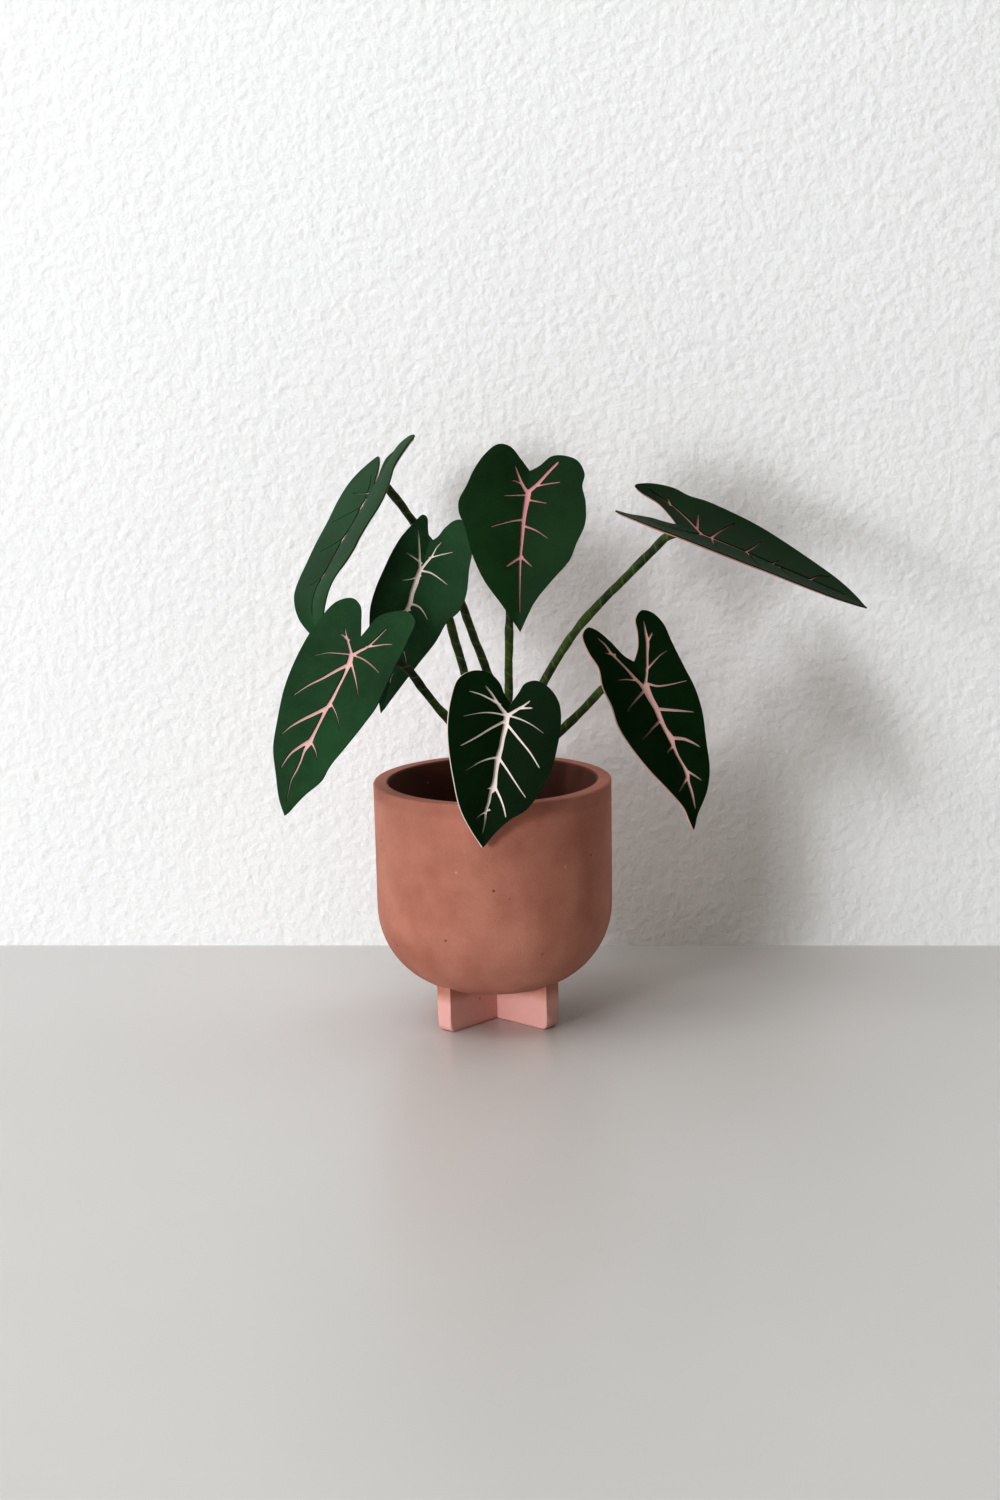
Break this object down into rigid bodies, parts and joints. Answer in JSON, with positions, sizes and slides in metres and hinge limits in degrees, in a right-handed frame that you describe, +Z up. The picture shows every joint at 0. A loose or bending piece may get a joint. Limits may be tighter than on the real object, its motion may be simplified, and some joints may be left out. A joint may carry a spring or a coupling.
{
  "type": "potted paper philodendron",
  "caption": "Cut-paper philodendron: green heart-shaped leaves with pale vein slots on wrapped wire stems, in a round terracotta-coloured pot on a cross foot.",
  "frame": {"origin": "centre of the flat underside of the pot's cross foot, on the surface it stands on", "axes": "+Z up along the pot's axis, -Y towards the front, +X to the right as seen from the front"},
  "size_m": [0.2442, 0.1224, 0.245],
  "materials": {
    "pot": "matte",
    "soil": "rough",
    "green_paper": "matte",
    "pink_paper": "matte",
    "stem_wrap": "satin"
  },
  "bodies": {
    "root": {"pot": "pot", "soil_fill": "soil", "leaf_top": "green_paper", "backing_top": "pink_paper", "stem_top": "stem_wrap", "leaf_midLeft": "green_paper", "backing_midLeft": "pink_paper", "stem_midLeft": "stem_wrap", "leaf_upperLeft": "green_paper", "backing_upperLeft": "pink_paper", "stem_upperLeft": "stem_wrap", "leaf_lowLeft": "green_paper", "backing_lowLeft": "pink_paper", "stem_lowLeft": "stem_wrap", "leaf_front": "green_paper", "backing_front": "pink_paper", "stem_front": "stem_wrap", "leaf_lowRight": "green_paper", "backing_lowRight": "pink_paper", "stem_lowRight": "stem_wrap", "leaf_right": "green_paper", "backing_right": "pink_paper", "stem_right": "stem_wrap"}
  },
  "joints": []
}
